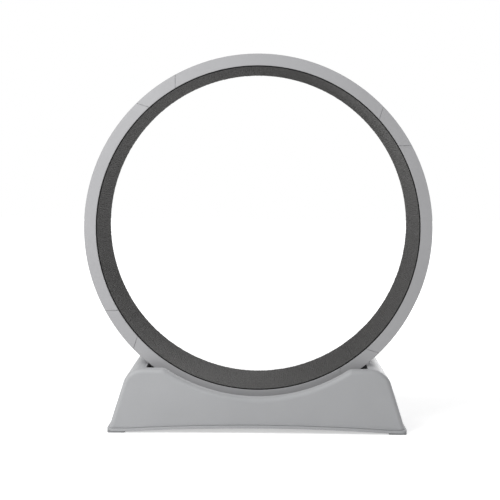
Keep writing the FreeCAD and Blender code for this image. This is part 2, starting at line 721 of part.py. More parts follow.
def base_shells():
    """Front and rear halves of the base's moulded cover: wall, half of each end wall, top
    edge."""
    name = "half_shell"
    body = new_body(name)
    outside = new_sketch(body, f"{name}_outline")
    shell_outline(outside, "0", SHELL_FOOT, arched=True)
    pad(body, outside, f"{name}_block", HALF_DEPTH)

    foot = size(SHELL_FOOT)

    def round_front(tag, inset, setback, radius):
        """Rounds the corners of the saddle, then the outline of the front or its cavity."""
        deck = size(f"dims.deck_height - {inset}")
        corner_x = size(f"sqrt(({SADDLE} + {inset})^2 - ({AXIS} - dims.deck_height + {inset})^2)")
        level = -size(f"{HALF_DEPTH} - {setback}")

        def saddle_end(edge):
            point = edge.Vertexes[0].Point
            return (along_y(edge) and abs(point.z - deck) < 1e-3
                    and abs(abs(point.x) - corner_x) < 1e-3)

        def outline_edge(edge):
            points = [vertex.Point for vertex in edge.Vertexes]
            return (all(abs(point.y - level) < 1e-3 for point in points)
                    and not all(abs(point.z - foot) < 1e-3 for point in points))

        round_edges(body, f"{name}_{tag}_saddle_corners", "dims.saddle_corner", saddle_end)
        round_edges(body, f"{name}_{tag}_edges", radius, outline_edge)

    round_front("front", "0", "0", "dims.edge_radius")

    front_inside = f"({HALF_DEPTH} - dims.base_wall)"
    below = f"({SHELL_FOOT} - dims.base_wall)"
    cavity = new_sketch(body, f"{name}_front_cavity_outline", lift=front_inside)
    shell_outline(cavity, "dims.base_wall", below)
    pocket(body, cavity, f"{name}_front_cavity", "dims.lip_depth - 2 * dims.base_wall")
    round_front("cavity", "dims.base_wall", "dims.base_wall", "dims.edge_radius - dims.base_wall")
    rim = new_sketch(body, f"{name}_rim_outline", lift=f"{LIP_EDGE} + dims.base_wall * 2")
    shell_outline(rim, "dims.lip_drop", below)
    pocket(body, rim, f"{name}_rim", "dims.base_wall * 3")
    for side in ("-", ""):
        tag = "left" if side else "right"
        hollow = new_sketch(body, f"{name}_{tag}_hollow_outline", lift=LIP_EDGE)
        end_hollow(hollow, side)
        pocket(body, hollow, f"{name}_{tag}_hollow", LIP_EDGE)
    well = new_sketch(body, f"{name}_well_outline", "XY_Plane")
    draw_box(well, f"-{WELL_HALF}", WELL_HALF, f"-{LIP_EDGE}", "dims.base_wall")
    pocket(body, well, f"{name}_well", "dims.deck_height * 2", backwards=True)

    bosses = new_sketch(body, f"{name}_boss_outline", "XY_Plane", lift="dims.boss_seat")
    pilots = new_sketch(body, f"{name}_pilot_outline", "XY_Plane", lift="dims.boss_seat")
    for boss_x in BOSS_XS:
        for sign in ("-", ""):
            draw_circle(bosses, f"{sign}{boss_x}", f"-{BOSS_Y}", "dims.boss_radius")
            draw_circle(pilots, f"{sign}{boss_x}", f"-{BOSS_Y}",
                        "dims.screw_radius + dims.screw_clearance")
    pad(body, bosses, f"{name}_bosses", "dims.boss_height")
    pocket(body, pilots, f"{name}_pilots", "dims.shell_screw_bite + dims.screw_radius",
           backwards=True)
    shells = [copy_of(body, side) for side in ("front_shell", "rear_shell")]
    for shell, turn in zip(shells, ("0", "180")):
        place(shell, angle=turn)
    return shells


def arch_centre(foot):
    """Height of the centre of an arc over the arch that stands on a foot level."""
    return f"({foot} + dims.arch_rise - {ARCH_RADIUS})"


def base_tray():
    """Shallow pan that closes the base below and carries brackets and feet."""
    body = new_body("base_tray")
    low = "dims.tray_standoff"
    outside = new_sketch(body, "tray_outline")
    draw_outline(outside, [
        (f"-{TRAY_HALF}", low), (f"-{ARCH_HALF}", low), (ARCH_HALF, low), (TRAY_HALF, low),
        (TRAY_HALF, TRAY_TOP), (ARCH_HALF, TRAY_TOP), (f"-{ARCH_HALF}", TRAY_TOP),
        (f"-{TRAY_HALF}", TRAY_TOP)],
        {1: ("0", arch_centre(low), "right"), 5: ("0", arch_centre(TRAY_TOP), "left")})
    pad(body, outside, "tray_block", f"2 * {TRAY_HALF_DEPTH}", both_ways=True)

    def upright(edge):
        ends = [vertex.Point for vertex in edge.Vertexes]
        return len(ends) == 2 and abs(ends[0].z - ends[1].z) > 1 and (
            (ends[0] - ends[1]).Length - abs(ends[0].z - ends[1].z) < 1e-3)

    round_edges(body, "tray_corners", "dims.tray_corner", upright)
    inside = new_sketch(body, "tray_inside_outline")
    half = f"({TRAY_HALF} - dims.tray_rim)"
    above = f"({TRAY_TOP} + dims.arch_rise * 2)"
    draw_outline(inside, [
        (f"-{half}", FLOOR_TOP), (f"-{ARCH_HALF}", FLOOR_TOP), (ARCH_HALF, FLOOR_TOP),
        (half, FLOOR_TOP), (half, above), (f"-{half}", above)],
        {1: ("0", arch_centre(FLOOR_TOP), "right")})
    pocket(body, inside, "tray_inside", f"2 * ({TRAY_HALF_DEPTH} - dims.tray_rim)",
           both_ways=True)

    pedestals = new_sketch(body, "pedestal_outline", "XY_Plane", lift="dims.pedestal_height")
    margin = "(dims.bracket_length / 2 + dims.pedestal_margin)"
    bosses = new_sketch(body, "tray_boss_outline", "XY_Plane", lift="dims.boss_seat")
    foot_bosses = new_sketch(body, "foot_boss_outline", "XY_Plane", lift=TRAY_TOP)
    for end in (-1, 1):
        for side in (-1, 1):
            x_sides = [f"{end} * {AXLE_X} - {margin}", f"{end} * {AXLE_X} + {margin}"]
            near = f"{side} * ({BRACKET_IN} - dims.bracket_thickness - dims.pedestal_margin)"
            far = f"{side} * ({BRACKET_END} + dims.pedestal_margin)"
            draw_box(pedestals, *x_sides, *((near, far) if side == 1 else (far, near)))
            for boss_x in BOSS_XS:
                draw_circle(bosses, f"{end} * {boss_x}", f"{side} * {BOSS_Y}",
                            "dims.boss_radius - dims.boss_step")
            draw_circle(foot_bosses, f"{end} * {FOOT_X}", f"{side} * {FOOT_Y}",
                        "dims.boss_radius")
    pad(body, pedestals, "pedestals", "dims.pedestal_height", backwards=True)
    pad(body, bosses, "tray_bosses", "dims.boss_seat", backwards=True)
    pad(body, foot_bosses, "foot_bosses", TRAY_TOP, backwards=True)

    under = new_sketch(body, "tray_underside_outline")
    underside_outline(under)
    pocket(body, under, "tray_underside", f"{TRAY_HALF_DEPTH} * 4", both_ways=True)
    drill_tray(body)
    return body


def underside_outline(sketch):
    """Everything below the tray's arched underside."""
    low = "dims.tray_standoff"
    below = "-dims.boss_seat"
    beyond = f"({TRAY_HALF} * 2)"
    corners = [(f"-{beyond}", below), (beyond, below), (beyond, low), (ARCH_HALF, low),
               (f"-{ARCH_HALF}", low), (f"-{beyond}", low)]
    draw_outline(sketch, corners, {3: ("0", arch_centre(low), "left")})


def screw_seat_height():
    """Underside of the heads of the screws that hold the shells, above the floor."""
    return "(dims.boss_seat - dims.boss_radius)"


def drill_tray(body):
    """Holes for the shell, bracket and foot screws, and recesses for the feet."""
    recess = new_sketch(body, "foot_recess_outline", "XY_Plane", lift="dims.tray_standoff")
    wells = new_sketch(body, "screw_well_outline", "XY_Plane", lift=screw_seat_height())
    holes = new_sketch(body, "shell_screw_outline", "XY_Plane", lift="dims.boss_seat")
    foot_holes = new_sketch(body, "foot_screw_outline", "XY_Plane", lift=TRAY_TOP)
    bracket_holes = new_sketch(body, "bracket_screw_outline", "XY_Plane",
                               lift="dims.pedestal_height")
    fit = "dims.screw_clearance"
    for end in (-1, 1):
        for side in (-1, 1):
            foot_x, foot_y = f"{end} * {FOOT_X}", f"{side} * {FOOT_Y}"
            draw_box(recess, f"{foot_x} - dims.foot_length / 2 - {fit}",
                     f"{foot_x} + dims.foot_length / 2 + {fit}",
                     f"{foot_y} - dims.foot_width / 2 - {fit}",
                     f"{foot_y} + dims.foot_width / 2 + {fit}")
            draw_circle(foot_holes, foot_x, foot_y, f"dims.screw_radius + {fit}")
            for boss_x in BOSS_XS:
                spot = (f"{end} * {boss_x}", f"{side} * {BOSS_Y}")
                draw_circle(wells, *spot, "dims.screw_head_radius + dims.screw_radius / 4")
                draw_circle(holes, *spot, f"dims.screw_radius + {fit}")
            for shift in ("-", "+"):
                draw_circle(bracket_holes,
                            f"{end} * {AXLE_X} {shift} dims.bracket_screw_spacing / 2",
                            f"{side} * {BRACKET_MID}", f"dims.screw_radius + {fit}")
    pocket(body, recess, "foot_recesses", "dims.foot_recess", backwards=True)
    pocket(body, wells, "screw_wells", screw_seat_height())
    pocket(body, holes, "shell_screw_holes", "dims.boss_seat")
    pocket(body, foot_holes, "foot_screw_holes", TRAY_TOP)
    pocket(body, bracket_holes, "bracket_screw_holes",
           "dims.bracket_screw_bite + dims.screw_radius / 2")


def roller_bracket():
    """Moulded cradle for one roller: foot plate and two cheeks about the axle."""
    name = "cradle"
    body = new_body(name)
    drop = f"({AXLE_Z} - dims.pedestal_height)"
    half = "(dims.bracket_length / 2)"
    near = f"({BRACKET_IN} - dims.bracket_thickness)"
    foot = new_sketch(body, f"{name}_foot_outline", "XY_Plane", lift=f"-{drop}")
    draw_box(foot, f"-{half}", half, near, BRACKET_END)
    pad(body, foot, f"{name}_foot", "dims.bracket_foot")
    for cheek, start in (("inner", near), ("outer", BRACKET_OUT)):
        tag = f"{name}_{cheek}_cheek"
        plate = new_sketch(body, f"{tag}_outline", lift=f"-{start}")
        draw_outline(plate, [(f"-{half}", f"-{drop}"), (half, f"-{drop}"),
                             ("dims.eye_radius", "0"), ("-dims.eye_radius", "0")])
        pad(body, plate, f"{tag}_plate", "dims.bracket_thickness", backwards=True)
        eye = new_sketch(body, f"{tag}_eye_outline", lift=f"-{start}")
        draw_circle(eye, "0", "0", "dims.eye_radius")
        pad(body, eye, f"{tag}_eye", "dims.bracket_thickness", backwards=True)
    bore = new_sketch(body, f"{name}_bore_outline", lift=f"-{near}")
    draw_circle(bore, "0", "0", "dims.axle_radius + dims.running_fit")
    pocket(body, bore, f"{name}_bore", f"{BRACKET_END} - {near}")
    holes = new_sketch(body, f"{name}_screw_outline", "XY_Plane",
                       lift=f"dims.bracket_foot - {drop}")
    for sign in ("-", ""):
        draw_circle(holes, f"{sign}dims.bracket_screw_spacing / 2", BRACKET_MID,
                    "dims.screw_radius + dims.screw_clearance")
    pocket(body, holes, f"{name}_screw_holes", "dims.bracket_foot")
    return body


def rubber_foot():
    name = "pad_foot"
    body = new_body(name)
    block = new_sketch(body, f"{name}_outline", "XY_Plane")
    draw_box(block, "-dims.foot_length / 2", "dims.foot_length / 2",
             "-dims.foot_width / 2", "dims.foot_width / 2")
    pad(body, block, f"{name}_block", "dims.tray_standoff + dims.foot_recess")

    def upright(edge):
        ends = [vertex.Point for vertex in edge.Vertexes]
        return len(ends) == 2 and abs(ends[0].z - ends[1].z) > 1

    round_edges(body, f"{name}_corners", "dims.foot_corner", upright)
    well = new_sketch(body, f"{name}_well_outline", "XY_Plane")
    draw_circle(well, "0", "0", "dims.screw_head_radius + dims.screw_radius / 4")
    pocket(body, well, f"{name}_well", "dims.foot_screw_well", backwards=True)
    hole = new_sketch(body, f"{name}_hole_outline", "XY_Plane")
    draw_circle(hole, "0", "0", "dims.screw_radius + dims.screw_clearance")
    pocket(body, hole, f"{name}_hole", "dims.boss_seat", backwards=True)
    return body


def corner_pieces():
    """Bracket, rubber foot and roller at each of the four corners."""
    bracket, foot, rollers = roller_bracket(), rubber_foot(), roller_patterns()
    parts = []
    for end_name, end in (("left", "-"), ("right", "")):
        for side_name, side in (("front", "-"), ("rear", "")):
            corner = f"{side_name}_{end_name}"
            cradle = copy_of(bracket, f"{corner}_bracket")
            place(cradle, x=f"{end}{AXLE_X}", z=AXLE_Z, angle="180" if side == "-" else "0")
            pad_foot = copy_of(foot, f"{corner}_foot")
            place(pad_foot, x=f"{end}{FOOT_X}", y=f"{side}{FOOT_Y}")
            parts += [cradle, pad_foot]
            for kind, patterns in rollers:
                piece = group(f"{corner}_roller_{kind}", patterns)
                place(piece, x=f"{end}{AXLE_X}", y=f"{side}{ROLLER_Y}", z=AXLE_Z)
                parts.append(piece)
    return parts


def base_screws():
    """Screws of the shells and feet, from below, and of the brackets, from above."""
    shell = []
    bracket = []
    foot = []
    shell_screw = pan_screw(
        "shell_screw", f"dims.boss_seat - {screw_seat_height()} + dims.shell_screw_bite")
    foot_screw = pan_screw(
        "foot_screw", f"{TRAY_TOP} - dims.foot_screw_well")
    bracket_screw = pan_screw("bracket_screw", "dims.bracket_foot + dims.bracket_screw_bite")
    for end in (-1, 1):
        for side in (-1, 1):
            for boss_x in BOSS_XS:
                screw = copy_of(shell_screw, f"shell_screw_{len(shell) + 1}")
                place(screw, x=f"{end} * {boss_x}", y=f"{side} * {BOSS_Y}",
                      z=screw_seat_height())
                shell.append(screw)
            screw = copy_of(foot_screw, f"foot_screw_{len(foot) + 1}")
            place(screw, x=f"{end} * {FOOT_X}", y=f"{side} * {FOOT_Y}", z="dims.foot_screw_well")
            foot.append(screw)
            for shift in ("-", "+"):
                screw = copy_of(bracket_screw, f"bracket_screw_{len(bracket) + 1}")
                place(screw, x=f"{end} * {AXLE_X} {shift} dims.bracket_screw_spacing / 2",
                      y=f"{side} * {BRACKET_MID}", z="dims.pedestal_height + dims.bracket_foot",
                      axis=(1, 0, 0), angle="180")
                bracket.append(screw)
    return [group("shell_screws", shell), group("foot_screws", foot),
            group("bracket_screws", bracket)]


# ---- the whole wheel ----

def build():
    parts = [base_tray(), *base_shells(), axle("left_axle", "-"), axle("right_axle", "")]
    parts += axle_rings()
    parts += base_screws()
    parts += corner_pieces()
    parts += drum()
    parts.append(clip_screws())
    parts += joint_fasteners()
    return parts


def main():
    parts = build()
    doc.recompute()
    failed = [item.Name for item in doc.Objects
              if "Invalid" in item.State or "Error" in item.State]
    failed += [item.Name for item in parts if item.Shape.isNull() or not item.Shape.isValid()]
    if failed:
        raise RuntimeError(f"pieces that failed: {failed}")
    os.makedirs("parts", exist_ok=True)
    for item in parts:
        item.Shape.exportStep(f"parts/{item.Label}.step")
    print(f"{len(parts)} pieces written")


main()
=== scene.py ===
import json
import math

import bpy
import numpy as np
from mathutils import Euler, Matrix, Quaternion, Vector


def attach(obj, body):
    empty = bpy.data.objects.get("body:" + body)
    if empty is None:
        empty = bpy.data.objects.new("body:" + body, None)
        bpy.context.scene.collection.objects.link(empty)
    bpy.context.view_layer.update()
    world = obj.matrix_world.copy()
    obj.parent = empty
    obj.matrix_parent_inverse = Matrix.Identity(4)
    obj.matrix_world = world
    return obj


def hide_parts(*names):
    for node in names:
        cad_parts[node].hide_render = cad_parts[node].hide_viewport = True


# Cat exercise wheel: the looks of the drum, its carpet and its base.
# Metres, +Z up, the drum's axis along Y, the front towards -Y.

bl_info = {
    "name": "Cat exercise wheel",
    "version": (1, 0, 0),
    "blender": (4, 5, 0),
    "location": "3D View > Sidebar > Cat wheel",
    "description": "Dresses the cat exercise wheel with its finishes, carpet and fasteners",
    "category": "Object",
}

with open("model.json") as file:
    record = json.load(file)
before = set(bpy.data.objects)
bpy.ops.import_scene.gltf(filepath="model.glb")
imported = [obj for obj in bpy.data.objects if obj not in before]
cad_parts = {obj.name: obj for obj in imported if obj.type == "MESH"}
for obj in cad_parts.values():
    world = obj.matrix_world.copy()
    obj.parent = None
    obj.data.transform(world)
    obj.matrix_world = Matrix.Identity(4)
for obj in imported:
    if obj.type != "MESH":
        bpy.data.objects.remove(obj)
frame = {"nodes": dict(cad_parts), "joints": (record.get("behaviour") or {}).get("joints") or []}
NODES = frame["nodes"]
AXIS = Vector(next(j for j in frame["joints"] if j["name"] == "wheel_spin")["pos_m"])


def linear(red, green, blue):
    """A colour written in screen values, 0 to 255, as Blender's linear values."""
    def value(screen):
        part = screen / 255
        return part / 12.92 if part <= 0.04045 else ((part + 0.055) / 1.055) ** 2.4
    return (value(red), value(green), value(blue))


# ---- what a user would change ----

class WheelFinish(bpy.types.PropertyGroup):
    base_colour: bpy.props.FloatVectorProperty(
        name="Base plastic", description="Colour of the base's shells and tray",
        subtype="COLOR", min=0, max=1, default=linear(180, 181, 183))
    drum_colour: bpy.props.FloatVectorProperty(
        name="Drum plastic", description="Colour of the drum's rings, clips and track",
        subtype="COLOR", min=0, max=1, default=linear(178, 178, 180))
    rubber_colour: bpy.props.FloatVectorProperty(
        name="Tyre rubber", description="Colour of the rollers' tyres",
        subtype="COLOR", min=0, max=1, default=linear(42, 42, 43))
    foot_colour: bpy.props.FloatVectorProperty(
        name="Foot rubber", description="Colour of the rubber feet",
        subtype="COLOR", min=0, max=1, default=linear(150, 151, 153))
    grain_size: bpy.props.FloatProperty(
        name="Moulding grain", description="Size of the grain on the moulded plastic",
        subtype="DISTANCE", unit="LENGTH", min=0.0002, max=0.005, default=0.0009)
    edge_radius: bpy.props.FloatProperty(
        name="Edge softness", description="Radius over which the plastic's edges catch the light",
        subtype="DISTANCE", unit="LENGTH", min=0, max=0.01, default=0.0015)
    thread_pitch: bpy.props.FloatProperty(
        name="Thread pitch", description="From one turn of the screws' thread to the next",
        subtype="DISTANCE", unit="LENGTH", min=0.0005, max=0.003, default=0.0014)


class WheelCarpet(bpy.types.PropertyGroup):
    colour: bpy.props.FloatVectorProperty(
        name="Pile", description="Colour of the carpet's pile",
        subtype="COLOR", min=0, max=1, default=linear(74, 73, 72))
    tuft_spacing: bpy.props.FloatProperty(
        name="Tuft spacing", description="From one tuft to the next",
        subtype="DISTANCE", unit="LENGTH", min=0.003, max=0.02, default=0.0052)
    pile_height: bpy.props.FloatProperty(
        name="Pile height", description="How far the tufts stand above the backing",
        subtype="DISTANCE", unit="LENGTH", min=0.0005, max=0.003, default=0.0013)
    unevenness: bpy.props.FloatProperty(
        name="Unevenness", description="How far a tuft strays from its row",
        subtype="DISTANCE", unit="LENGTH", min=0, max=0.004, default=0.0011)


class WheelStage(bpy.types.PropertyGroup):
    camera_place: bpy.props.FloatVectorProperty(
        name="Camera", description="Where the camera stands",
        subtype="TRANSLATION", unit="LENGTH", default=(0.0078, -2.7200, 0.6583))
    camera_tilt: bpy.props.FloatProperty(
        name="Tilt", description="Camera's tilt below the horizontal",
        subtype="ANGLE", unit="ROTATION", default=math.radians(1.440))
    camera_turn: bpy.props.FloatProperty(
        name="Turn", description="Camera's turn to the left",
        subtype="ANGLE", unit="ROTATION", default=math.radians(0.634))
    camera_roll: bpy.props.FloatProperty(
        name="Roll", description="Camera's roll, which turns the picture clockwise",
        subtype="ANGLE", unit="ROTATION", default=math.radians(0.3))
    camera_lens: bpy.props.FloatProperty(
        name="Lens", description="Focal length in millimetres", min=20, max=200, default=72.3)
    camera_drop: bpy.props.FloatProperty(
        name="Frame drop", description="How far the picture's frame sits below the lens, "
        "as a share of its width", min=0, max=0.5, default=0.10)
    key_power: bpy.props.FloatProperty(
        name="Key light", description="Power of the large lamp at the upper left, in watts",
        min=0, max=1000, default=30)
    rear_power: bpy.props.FloatProperty(
        name="Rear light", description="Power of the lamp behind the wheel, in watts",
        min=0, max=1000, default=30)
    sky_strength: bpy.props.FloatProperty(
        name="Room light", description="Light that reaches the wheel from all round",
        min=0, max=2, default=0.36)


# ---- materials ----

class Finish:
    """A node material under construction, with its shader and its surface coordinates."""

    def __init__(self, name):
        self.material = bpy.data.materials.new(name)
        self.material.use_nodes = True
        self.tree = self.material.node_tree
        self.shader = self.tree.nodes["Principled BSDF"]
        self.place = self.add("ShaderNodeTexCoord").outputs["Object"]

    def add(self, kind, **values):
        node = self.tree.nodes.new(kind)
        for key, value in values.items():
            if isinstance(value, bpy.types.NodeSocket):
                self.tree.links.new(value, node.inputs[key])
            elif key in node.inputs:
                node.inputs[key].default_value = value
            else:
                setattr(node, key, value)
        return node

    def noise(self, size, detail=2.0, place=None, roughness=0.5):
        """Noise whose features are about so many metres across."""
        return self.add("ShaderNodeTexNoise", Vector=place or self.place, Scale=1 / size,
                        Detail=detail, Roughness=roughness).outputs["Fac"]

    def ramp(self, fac, *stops):
        """Colours at places along a value from 0 to 1."""
        node = self.add("ShaderNodeValToRGB", Fac=fac)
        elements = node.color_ramp.elements
        while len(elements) < len(stops):
            elements.new(0.5)
        for element, (position, colour) in zip(elements, stops):
            element.position = position
            element.color = (*colour, 1)
        return node.outputs["Color"]

    def spread(self, fac, low, high, start=0.3, end=0.7):
        """A value between start and end, spread from low to high."""
        node = self.add("ShaderNodeMapRange", Value=fac)
        for key, value in (("From Min", start), ("From Max", end), ("To Min", low),
                           ("To Max", high)):
            node.inputs[key].default_value = value
        return node.outputs["Result"]

    def mix(self, fac, one, other):
        node = self.add("ShaderNodeMix", data_type="RGBA")
        for socket, value in ((node.inputs[0], fac), (node.inputs[6], one),
                              (node.inputs[7], other)):
            if isinstance(value, bpy.types.NodeSocket):
                self.tree.links.new(value, socket)
            elif isinstance(value, tuple):
                socket.default_value = (*value, 1)
            else:
                socket.default_value = value
        return node.outputs[2]

    def bump(self, height, distance, below=None):
        values = {"Height": height, "Distance": distance}
        if below is not None:
            values["Normal"] = below
        return self.add("ShaderNodeBump", **values).outputs["Normal"]

    def set(self, **values):
        """Sets or links the shader's sockets, with underscores for spaces."""
        for key, value in values.items():
            socket = self.shader.inputs[key.replace("_", " ")]
            if isinstance(value, bpy.types.NodeSocket):
                self.tree.links.new(value, socket)
            else:
                socket.default_value = (*value, 1) if isinstance(value, tuple) else value
        return self.material


def shade(colour, factor):
    return tuple(min(1.0, channel * factor) for channel in colour)


def moulded_plastic(name, colour, options):
    """Injection moulded plastic with a fine grain, faint flow clouds and softened edges."""
    finish = Finish(name)
    clouds = finish.noise(size=0.16, detail=3)
    marks = finish.noise(size=0.012, detail=4, roughness=0.6)
    tone = finish.ramp(clouds, (0.3, shade(colour, 0.965)), (0.7, shade(colour, 1.025)))
    rubbed = finish.mix(finish.spread(marks, low=0, high=0.35, start=0.55, end=0.8),
                        tone, shade(colour, 1.06))
    soft = finish.add("ShaderNodeBevel", samples=4, Radius=options.edge_radius)
    grain = finish.noise(size=options.grain_size, detail=1)
    normal = finish.bump(grain, distance=0.00006, below=soft.outputs["Normal"])
    return finish.set(Base_Color=rubbed, Roughness=finish.spread(marks, low=0.44, high=0.54),
                      Specular_IOR_Level=0.42, Normal=normal)


def rubber(name, colour):
    """Matt rubber with dust in its pores."""
    finish = Finish(name)
    dust = finish.noise(size=0.006, detail=4, roughness=0.65)
    tone = finish.ramp(dust, (0.35, shade(colour, 0.9)), (0.75, shade(colour, 1.18)))
    pores = finish.noise(size=0.0007, detail=2)
    return finish.set(Base_Color=tone, Roughness=finish.spread(dust, low=0.62, high=0.8),
                      Specular_IOR_Level=0.35, Normal=finish.bump(pores, distance=0.00008))


def turned_steel(name, colour, polish):
    """Steel with fine turning lines round pieces that lie along Y."""
    finish = Finish(name)
    lines = finish.add("ShaderNodeMapping", Vector=finish.place, Scale=(0.05, 1.0, 0.05))
    rings = finish.noise(size=0.0004, detail=3, place=lines.outputs["Vector"])
    stains = finish.noise(size=0.02, detail=3)
    tone = finish.ramp(stains, (0.3, shade(colour, 0.9)), (0.7, shade(colour, 1.05)))
    return finish.set(Base_Color=tone, Metallic=1.0,
                      Roughness=finish.spread(rings, low=polish, high=polish + 0.14),
                      Normal=finish.bump(rings, distance=0.00003))


def carpet_pile(name, colour, half_width):
    """Dark needled pile: fibres of close greys with a soft sheen, and a painted shadow band along
    both long edges, where the gap to the drum's lip lies in shade.
    """
    # width and blur of the painted shadow band along the carpet's long edges
    gap_shadow_width, gap_shadow_blur = 0.0045, 0.001
    finish = Finish(name)
    yarn = finish.noise(size=0.0026, detail=3, roughness=0.7)
    worn = finish.noise(size=0.016, detail=4, roughness=0.65)
    fibres = finish.ramp(yarn, (0.32, shade(colour, 0.78)), (0.52, colour),
                         (0.72, shade(colour, 1.25)))
    pile = finish.mix(finish.spread(worn, low=0, high=0.55, start=0.42, end=0.62),
                      fibres, shade(colour, 1.35))
    # painted shadow: across the carpet, from where the band begins to its edge, the pile is
    # darkened
    across = finish.add("ShaderNodeSeparateXYZ", Vector=finish.place).outputs["Y"]
    off_middle = finish.add("ShaderNodeMath", operation="ABSOLUTE", Value=across).outputs[0]
    gap_shadow_start = half_width - gap_shadow_width
    painted_gap_shadow = finish.spread(off_middle, low=0, high=1, start=gap_shadow_start,
                            end=gap_shadow_start + gap_shadow_blur)
    # painted shadow: the pile goes near black in a band along both long edges, standing in for
    # the shade in the gap between the carpet and the drum's lip
    tone = finish.mix(painted_gap_shadow, pile, shade(colour, 0.12))
    hairs = finish.noise(size=0.0006, detail=4, roughness=0.75)
    return finish.set(Base_Color=tone, Roughness=0.95, Specular_IOR_Level=0.1,
                      Sheen_Weight=0.25, Sheen_Roughness=0.5,
                      Normal=finish.bump(hairs, distance=0.0006))


def dress(material, *names):
    """Gives CAD nodes their material."""
    for name in names:
        node = NODES[name]
        if not node.material_slots:
            raise RuntimeError(f"{name} has no material slot")
        for place in node.material_slots:
            place.material = material


def named(*words):
    """Names of the CAD nodes that hold any of the words."""
    found = [name for name in NODES if any(word in name for word in words)]
    if not found:
        raise RuntimeError(f"no node is named like {words}")
    return found


# ---- geometry nodes ----

class Tree:
    """A geometry node tree under construction, with named inputs."""

    def __init__(self, name):
        self.tree = bpy.data.node_groups.new(name, "GeometryNodeTree")
        for in_out in ("INPUT", "OUTPUT"):
            self.tree.interface.new_socket("Geometry", in_out=in_out,
                                           socket_type="NodeSocketGeometry")
        self.inputs = self.tree.nodes.new("NodeGroupInput")
        self.output = self.tree.nodes.new("NodeGroupOutput")

    def input(self, name, kind="Float"):
        self.tree.interface.new_socket(name, in_out="INPUT", socket_type=f"NodeSocket{kind}")
        return self.inputs.outputs[name]

    def node(self, kind, *links, **values):
        """A node whose first inputs are linked or set in order, and others by name."""
        node = self.tree.nodes.new(kind)
        for key in [k for k in values if k not in node.inputs and hasattr(node, k)]:
            setattr(node, key, values.pop(key))
        for socket, value in list(zip(node.inputs, links)) + [
                (node.inputs[key], value) for key, value in values.items()]:
            if isinstance(value, bpy.types.NodeSocket):
                self.tree.links.new(value, socket)
            else:
                socket.default_value = value
        return node

    def add(self, kind, *links, **values):
        """The first output of a node."""
        return self.node(kind, *links, **values).outputs[0]

    def math(self, operation, one, other=0.0):
        return self.add("ShaderNodeMath", one, other, operation=operation)

    def vector(self, x, y, z):
        return self.add("ShaderNodeCombineXYZ", x, y, z)

    def move(self, geometry, **how):
        return self.add("GeometryNodeSetPosition", geometry, **how)

    def random(self, low, high, seed=0):
        """A number for each point, between low and high."""
        node = self.node("FunctionNodeRandomValue", data_type="FLOAT", Seed=seed)
        node.inputs[2].default_value, node.inputs[3].default_value = low, high
        return node.outputs[1]

    def join(self, kind, *parts, into="Geometry", **values):
        """A node that takes several geometries in one input."""
        node = self.node(kind, **values)
        for part in parts:
            self.tree.links.new(part, node.inputs[into])
        return node.outputs[0]

    def finish(self, geometry, material):
        real = self.add("GeometryNodeRealizeInstances", geometry)
        dressed = self.add("GeometryNodeSetMaterial", real, Material=material)
        self.tree.links.new(dressed, self.output.inputs[0])
        return self.tree


def grown(name, tree, values, body, start=None):
    """Runs a node tree on a new object and keeps its result as a plain mesh."""
    mesh = start or bpy.data.meshes.new(f"{name}_start")
    source = bpy.data.objects.new(f"{name}_source", mesh)
    bpy.context.scene.collection.objects.link(source)
    modifier = source.modifiers.new("grow", "NODES")
    modifier.node_group = tree
    sockets = {item.name: item.identifier for item in tree.interface.items_tree
               if item.in_out == "INPUT"}
    for key, value in values.items():
        modifier[sockets[key]] = value
    evaluated = source.evaluated_get(bpy.context.evaluated_depsgraph_get())
    result = bpy.data.meshes.new_from_object(evaluated)
    if not result.polygons:
        raise RuntimeError(f"{name} came out empty")
    result.name = name
    bpy.data.objects.remove(source)
    piece = bpy.data.objects.new(name, result)
    bpy.context.scene.collection.objects.link(piece)
    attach(piece, body)
    return piece


# ---- carpet ----

TUFT_SIDES, TUFT_RINGS = 6, 3
TUFT_GIRTH = (0.6, 0.72)            # radius, as a share of the spacing
TUFT_HEIGHT = (0.72, 1.0)           # as a share of the pile's height
BACKING_POINTS = (161, 21, 2)       # along the curve, across and through
SEED_STEP = 10                      # from one length of carpet to the next


def polar_span(node):
    """Radii, angles and ends along Y of a curved piece about the drum's axis."""
    points = np.array([tuple(v.co) for v in node.data.vertices]) - np.array(AXIS)
    radii = np.hypot(points[:, 0], points[:, 2])
    middle = math.atan2(points[:, 2].mean(), points[:, 0].mean())
    turned = np.angle(np.exp(1j * (np.arctan2(points[:, 2], points[:, 0]) - middle)))
    return {"inner": radii.min(), "outer": radii.max(), "middle": middle + turned.mean(),
            "half": np.abs(turned).max(), "front": points[:, 1].min(), "rear": points[:, 1].max()}


